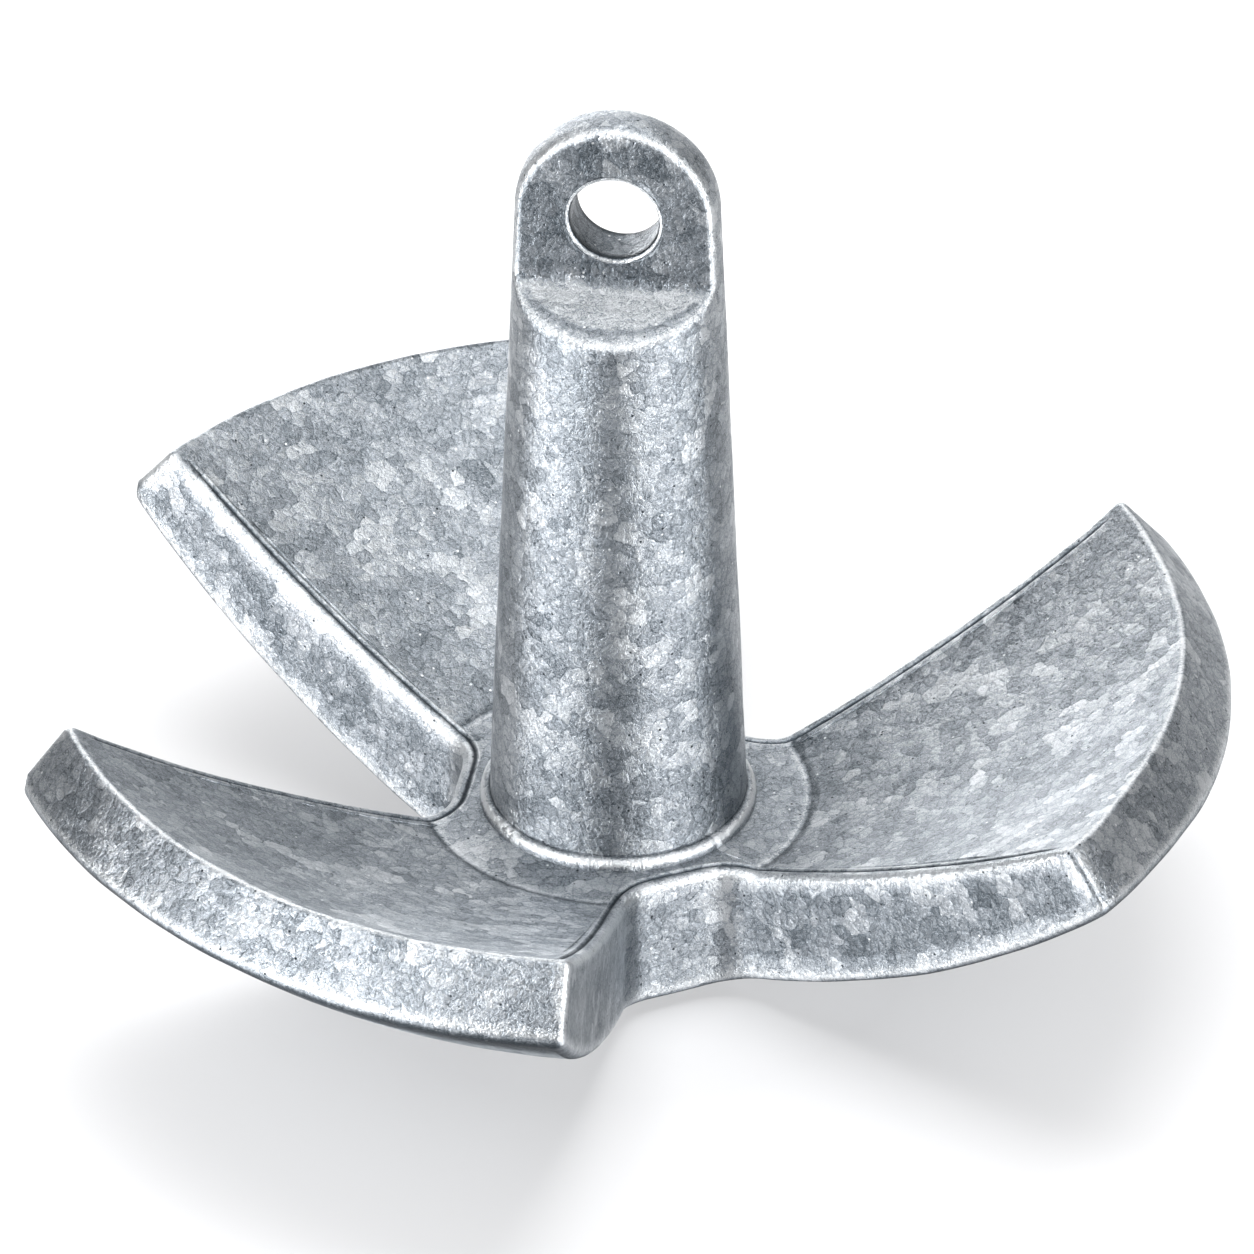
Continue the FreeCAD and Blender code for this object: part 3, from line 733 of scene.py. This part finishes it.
    # Painted shade where the painted tone is below 0, in the pits' colour.
    painted_shade = add_node(tree, "MapRange", [("Value", painted_light_and_shade), ("From Min", -0.1),
                                        ("From Max", -0.9), ("To Max", 0.85)])
    lighter = add_node(tree, "Math", [(0, painted_highlight.outputs["Result"]),
                                      (1, bright_speck.outputs[0])], operation="MAXIMUM")
    highlit_zinc = add_node(tree, "Mix", [("Factor", lighter.outputs[0]),
                                  ("A", mottle.outputs["Color"]),
                                  ("B", (*finish.highlight_and_speck_zinc, 1.0))], data_type="RGBA")
    darker = add_node(tree, "Math", [(0, pit.outputs[0]), (1, painted_shade.outputs["Result"])],
                      operation="MAXIMUM")
    colour = add_node(tree, "Mix", [("Factor", darker.outputs[0]),
                                    ("A", highlit_zinc.outputs["Result"]),
                                    ("B", (*finish.pit, 1.0))], data_type="RGBA")
    roughness = add_node(tree, "Math", [(0, scale_tone[1]), (1, 0.12),
                                        (2, finish.roughness - 0.06)],
                         operation="MULTIPLY_ADD")

    # Each crystal leans a little, and the relief is the sum of the patterns' heights.
    lean = add_node(tree, "VectorMath", [(0, scales.outputs["Color"]), (1, (0.5, 0.5, 0.5))],
                    operation="SUBTRACT")
    lean = add_node(tree, "VectorMath", [(0, lean.outputs[0]), ("Scale", finish.flake_tilt)],
                    operation="SCALE")
    facing = add_node(tree, "NewGeometry").outputs["Normal"]
    facing = add_node(tree, "VectorMath", [(0, facing), (1, lean.outputs[0])], operation="ADD")
    facing = add_node(tree, "VectorMath", [(0, facing.outputs[0])], operation="NORMALIZE")
    relief = add_node(tree, "Math", [(0, outlines.outputs["Distance"]), (1, 0.9)],
                      operation="MULTIPLY")
    for part, weight in ((grain.outputs["Fac"], 0.8), (lobes.outputs["Fac"], 0.5),
                         (terrace.outputs["Result"], 0.16), (pit.outputs[0], -0.6)):
        relief = add_node(tree, "Math", [(0, part), (1, weight), (2, relief.outputs[0])],
                          operation="MULTIPLY_ADD")
    bump = add_node(tree, "Bump", [("Height", relief.outputs[0]), ("Normal", facing.outputs[0]),
                                   ("Strength", finish.grain_strength), ("Distance", 0.0006)])
    upward = add_node(tree, "CombineXYZ", [("Z", 1.0)])
    surface = add_node(tree, "BsdfPrincipled",
                       [("Base Color", colour.outputs["Result"]), ("Metallic", 1.0),
                        ("Roughness", roughness.outputs[0]), ("Normal", bump.outputs["Normal"]),
                        ("Anisotropic", 0.93), ("Tangent", upward.outputs[0])])
    add_node(tree, "OutputMaterial", [("Surface", surface.outputs["BSDF"])])
    return material


def finish_piece(piece):
    """Give a piece its zinc, and let it ride on the casting's body in the solid's place."""
    material = bpy.data.materials.get("hot_dip_galvanised_iron")
    if material is None:
        material = galvanised_iron(bpy.context.scene.anchor_finish)
    piece.data.materials.append(material)
    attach(piece, "root")
    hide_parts(CASTING)


def studio_paper(look):
    """White seamless paper, matt: it shows white to the eye and in the metal, and keeps shadows.

    It glows where it is seen, little under the anchor and more away from it, so that the shadow
    stays close, and more again from 0.8 to 2.2 m out, which the lamps don't reach.
    """
    material = bpy.data.materials.new("matt_white_paper")
    material.use_nodes = True
    tree = material.node_tree
    tree.nodes.clear()
    rays = add_node(tree, "LightPath").outputs
    seen = add_node(tree, "Math", [(0, rays["Is Camera Ray"]), (1, rays["Is Glossy Ray"])],
                    operation="MAXIMUM")
    seen = add_node(tree, "Math", [(0, rays["Is Transmission Ray"]), (1, seen.outputs[0])],
                    operation="MAXIMUM")
    place = add_node(tree, "TexCoord").outputs["Object"]
    away = add_node(tree, "VectorMath", [(0, place)], operation="LENGTH")
    far, wall = (
        add_node(tree, "MapRange", [("Value", away.outputs["Value"]), ("From Min", start),
                                    ("From Max", end), ("To Min", least), ("To Max", most)])
        for start, end, least, most in ((0.07, 0.28, 0.06, look.paper_lift),
                                        (0.8, 2.2, 0.0, look.wall_lift)))
    both = add_node(tree, "Math", [(0, far.outputs["Result"]), (1, wall.outputs["Result"])],
                    operation="ADD")
    lift = add_node(tree, "Math", [(0, seen.outputs[0]), (1, both.outputs[0])],
                    operation="MULTIPLY")
    surface = add_node(tree, "BsdfPrincipled",
                       [("Base Color", (*look.paper, 1.0)), ("Roughness", 1.0),
                        ("Specular IOR Level", 0.0), ("Emission Color", (1.0, 1.0, 1.0, 1.0)),
                        ("Emission Strength", lift.outputs[0])])
    add_node(tree, "OutputMaterial", [("Surface", surface.outputs["BSDF"])])
    return material


def paper_surface(flat, cove, rise):
    """A round sheet of paper in metres, flat to a radius, then up in a cove to a low wall.

    The profile is a straight line, a quarter circle and a straight line, turned round the axis.
    The points come out in millimetres.
    """
    turn = np.linspace(0.0, math.pi / 2.0, 12)
    radius = np.concatenate([[0.4, 1.2], flat + cove * np.sin(turn), [flat + cove]])
    height = np.concatenate([[0.0, 0.0], cove * (1.0 - np.cos(turn)), [rise]])
    azimuth = np.linspace(0.0, math.tau, 96, endpoint=False)
    points = np.stack([radius[:, None] * np.cos(azimuth), radius[:, None] * np.sin(azimuth),
                       np.repeat(height[:, None], len(azimuth), axis=1)], axis=-1)
    points = np.vstack([points.reshape(-1, 3), [[0.0, 0.0, 0.0]]])
    faces = (grid_faces(len(radius), len(azimuth))[:, ::-1].tolist()
             + fan(len(points) - 1, np.arange(len(azimuth)), False).tolist())
    return points * 1000.0, faces


def soft_box(name, strength, turn, lift, distance, size, shadow):
    """A flat lamp that faces the anchor, at a turn from the camera's side and a height angle.

    Its strength is its brightness, where 1 is white.
    """
    lamp = bpy.data.lights.new(name, "AREA")
    lamp.shape = "RECTANGLE"
    lamp.size, lamp.size_y = size
    lamp.energy = strength * math.pi * size[0] * size[1]
    lamp.use_shadow = shadow
    holder = bpy.data.objects.new(name, lamp)
    bpy.context.scene.collection.objects.link(holder)
    azimuth = VIEW_TURN - math.pi / 2.0 + math.radians(turn)
    rise = math.radians(lift)
    way = Vector((math.cos(azimuth) * math.cos(rise), math.sin(azimuth) * math.cos(rise),
                  math.sin(rise)))
    holder.location = Vector((0.0, 0.0, LIT_HEIGHT)) + way * distance
    holder.rotation_euler = (-way).to_track_quat("-Z", "Y").to_euler()


def size_setting(name, text, default, least, most):
    """A size in millimetres that a user may change."""
    return bpy.props.FloatProperty(name=name, description=f"{text}, in millimetres",
                                   default=default, min=least, max=most)


def colour_setting(name, text, code):
    """A colour that a user may change, from its sRGB hex code."""
    return bpy.props.FloatVectorProperty(name=name, description=text, subtype="COLOR",
                                         default=linear(code), min=0.0, max=1.0)


def lamp_setting(name, lamp, default):
    """A lamp's brightness, which a user may change."""
    return bpy.props.FloatProperty(name=name, default=default, min=0.0,
                                   description=f"Brightness of the {lamp}, where 1 is white")


class AnchorSizes(bpy.types.PropertyGroup):
    """Sizes of the casting's surface, in millimetres."""

    edge_round: size_setting(
        "Upper edge", "Round of the upper edges at the notches", 2.1, 0.5, 3.0)
    rim_edge_round: size_setting("Rim edge", "Round of the rims' upper edges", 1.5, 0.5, 3.0)
    low_edge_round: size_setting("Lower edge", "Round of the flukes' lower edges", 2.6, 0.5, 4.0)
    corner_round: size_setting(
        "Corner", "Round of the flukes' corners seen from above", 1.8, 0.5, 5.0)
    groove_from_edge: size_setting(
        "Groove place", "Distance of the sunken line from the edge", 3.0, 2.6, 6.0)
    groove_depth: size_setting(
        "Groove depth", "Depth of the sunken line by the edge", 0.5, 0.0, 1.0)
    tang_round: size_setting("Tang edge", "Round of the tang's edges", 2.4, 0.5, 4.0)
    eye_round: size_setting("Eye edge", "Round of the eye's edges", 1.0, 0.3, 2.0)
    wave_depth: size_setting("Casting waves", "Depth of the casting's low waves", 0.22, 0.0, 0.6)


class AnchorFinish(bpy.types.PropertyGroup):
    """Colours and roughness of the zinc."""

    dark_zinc: colour_setting("Dark zinc", "Zinc between the crystals", "#4A5157")
    zinc: colour_setting("Zinc", "Zinc over most of the surface", "#8B9197")
    bright_zinc: colour_setting("Bright zinc", "Zinc on the pale crystals", "#C6C9CC")
    # Colour of the painted highlights and of the bright specks.
    highlight_and_speck_zinc: colour_setting("Rubbed zinc", "Zinc on rubbed edges and specks", "#D9DCDE")
    # Also the colour of the painted shade.
    pit: colour_setting("Pits", "Bottom of the casting's small pits", "#2E3338")
    roughness: bpy.props.FloatProperty(
        name="Roughness", description="Mean roughness of the zinc", default=0.42, min=0.1,
        max=0.9)
    flake_tilt: bpy.props.FloatProperty(
        name="Flake tilt", description="How far the crystals lean out of the surface",
        default=0.06, min=0.0, max=0.5)
    grain_strength: bpy.props.FloatProperty(
        name="Grain", description="Strength of the grain's relief", default=0.4, min=0.0,
        max=1.0)


class AnchorStage(bpy.types.PropertyGroup):
    """The studio: paper, lamps and the room's light."""

    paper: colour_setting("Paper", "Colour of the floor's paper", "#BDBDBE")
    paper_lift: bpy.props.FloatProperty(
        name="Paper lift", description="Glow that keeps the seen paper white", default=0.6,
        min=0.0, max=1.0)
    wall_lift: bpy.props.FloatProperty(
        name="Wall lift", description="Further glow of the paper where the lamps don't reach",
        default=0.4, min=0.0, max=1.0)
    overhead: lamp_setting("Overhead", "soft box above", 6.0)
    left: lamp_setting("Left", "strip at the left front", 31.0)
    right: lamp_setting("Right", "strip at the right front", 31.0)
    back: lamp_setting("Back", "soft box behind", 1.9)
    low_back: lamp_setting("Low back", "low box behind", 14.0)
    room: bpy.props.FloatProperty(
        name="Room", description="Strength of the room's own light", default=0.1, min=0.0)


class ANCHOR_OT_flukes(bpy.types.Operator):
    """Make the hub and its three cupped flukes as one surface"""

    bl_idname = "anchor.flukes"
    bl_label = "Hub and Flukes"

    def execute(self, context):
        sizes = context.scene.anchor_sizes
        rows, painted_tone = flukes_surface(sizes)
        count, columns = rows.shape[:2]
        points = np.vstack([rows.reshape(-1, 3), [[0.0, 0.0, DECK_HEIGHT], [0.0, 0.0, 0.0]]])
        first_ring = np.arange(columns)
        last_ring = (count - 1) * columns + first_ring
        faces = (grid_faces(count, columns)[:, ::-1].tolist()
                 + fan(len(points) - 2, first_ring, False).tolist()
                 + fan(len(points) - 1, last_ring, True).tolist())
        points = cast_unevenly(waved(points, faces, 7, sizes.wave_depth))
        points = np.clip(points, *(np.array(CASTING_BOX) * 1000.0))
        painted_tone = np.concatenate([painted_tone.reshape(-1), [0.0, 0.0]])
        finish_piece(mesh_object("fluke_casting", points, faces, painted_tone))
        return {"FINISHED"}


class ANCHOR_OT_shank(bpy.types.Operator):
    """Make the shank with its bead, tang and shackle eye as one surface"""

    bl_idname = "anchor.shank"
    bl_label = "Shank and Eye"

    def execute(self, context):
        sizes = context.scene.anchor_sizes
        points, faces, painted_tone = shank_surface(sizes)
        points = waved(points, faces, 11, sizes.wave_depth)
        finish_piece(mesh_object("shank_casting", points, faces, painted_tone))
        return {"FINISHED"}


class ANCHOR_OT_stage(bpy.types.Operator):
    """Make the paper floor, the soft lamps, the room's light and the camera"""

    bl_idname = "anchor.stage"
    bl_label = "Studio"

    def execute(self, context):
        scene = context.scene
        look = scene.anchor_stage
        points, faces = paper_surface(flat=5.0, cove=0.7, rise=1.2)
        floor = mesh_object("paper_floor", points, faces, np.zeros(len(points)))
        floor.data.materials.append(studio_paper(look))
        world = bpy.data.worlds.new("studio_room")
        world.use_nodes = True
        tree = world.node_tree
        tree.nodes.clear()
        air = add_node(tree, "Background", [("Color", (1.0, 1.0, 1.0, 1.0)),
                                            ("Strength", look.room)])
        add_node(tree, "OutputWorld", [("Surface", air.outputs[0])])
        scene.world = world
        for name, setting, *place in LAMPS:
            soft_box(name, getattr(look, setting), *place)
        lens = bpy.data.cameras.new("view")
        lens.lens = LENS
        lens.sensor_width = SENSOR
        lens.sensor_fit = "HORIZONTAL"
        lens.clip_end = 100.0
        camera = bpy.data.objects.new("view", lens)
        scene.collection.objects.link(camera)
        turn, lift = VIEW_TURN, VIEW_LIFT
        back_way = np.array([math.sin(turn) * math.cos(lift), -math.cos(turn) * math.cos(lift),
                             math.sin(lift)])
        aim = np.array([AIM_RIGHT * math.cos(turn), AIM_RIGHT * math.sin(turn), AIM_HEIGHT])
        camera.location = aim + VIEW_DISTANCE * back_way
        camera.rotation_euler = (math.pi / 2.0 - lift, 0.0, turn)
        scene.camera = camera
        scene.view_settings.view_transform = "Standard"
        return {"FINISHED"}


class ANCHOR_PT_panel(bpy.types.Panel):
    """Lists the anchor's pieces, sizes, finish and studio"""

    bl_label = "River Anchor"
    bl_idname = "ANCHOR_PT_panel"
    bl_space_type = "VIEW_3D"
    bl_region_type = "UI"
    bl_category = "Anchor"

    def draw(self, context):
        column = self.layout.column(align=True)
        for operator in (ANCHOR_OT_flukes, ANCHOR_OT_shank, ANCHOR_OT_stage):
            column.operator(operator.bl_idname)
        for group in ("anchor_sizes", "anchor_finish", "anchor_stage"):
            settings = getattr(context.scene, group)
            for name in settings.__annotations__:
                column.prop(settings, name)


CLASSES = (AnchorSizes, AnchorFinish, AnchorStage, ANCHOR_OT_flukes, ANCHOR_OT_shank,
           ANCHOR_OT_stage, ANCHOR_PT_panel)


def register():
    for kind in CLASSES:
        bpy.utils.register_class(kind)
    bpy.types.Scene.anchor_sizes = bpy.props.PointerProperty(type=AnchorSizes)
    bpy.types.Scene.anchor_finish = bpy.props.PointerProperty(type=AnchorFinish)
    bpy.types.Scene.anchor_stage = bpy.props.PointerProperty(type=AnchorStage)


def unregister():
    del bpy.types.Scene.anchor_sizes
    del bpy.types.Scene.anchor_finish
    del bpy.types.Scene.anchor_stage
    for kind in reversed(CLASSES):
        bpy.utils.unregister_class(kind)


def main():
    register()
    bpy.ops.anchor.stage()
    bpy.ops.anchor.flukes()
    bpy.ops.anchor.shank()


if __name__ == "__main__":
    main()
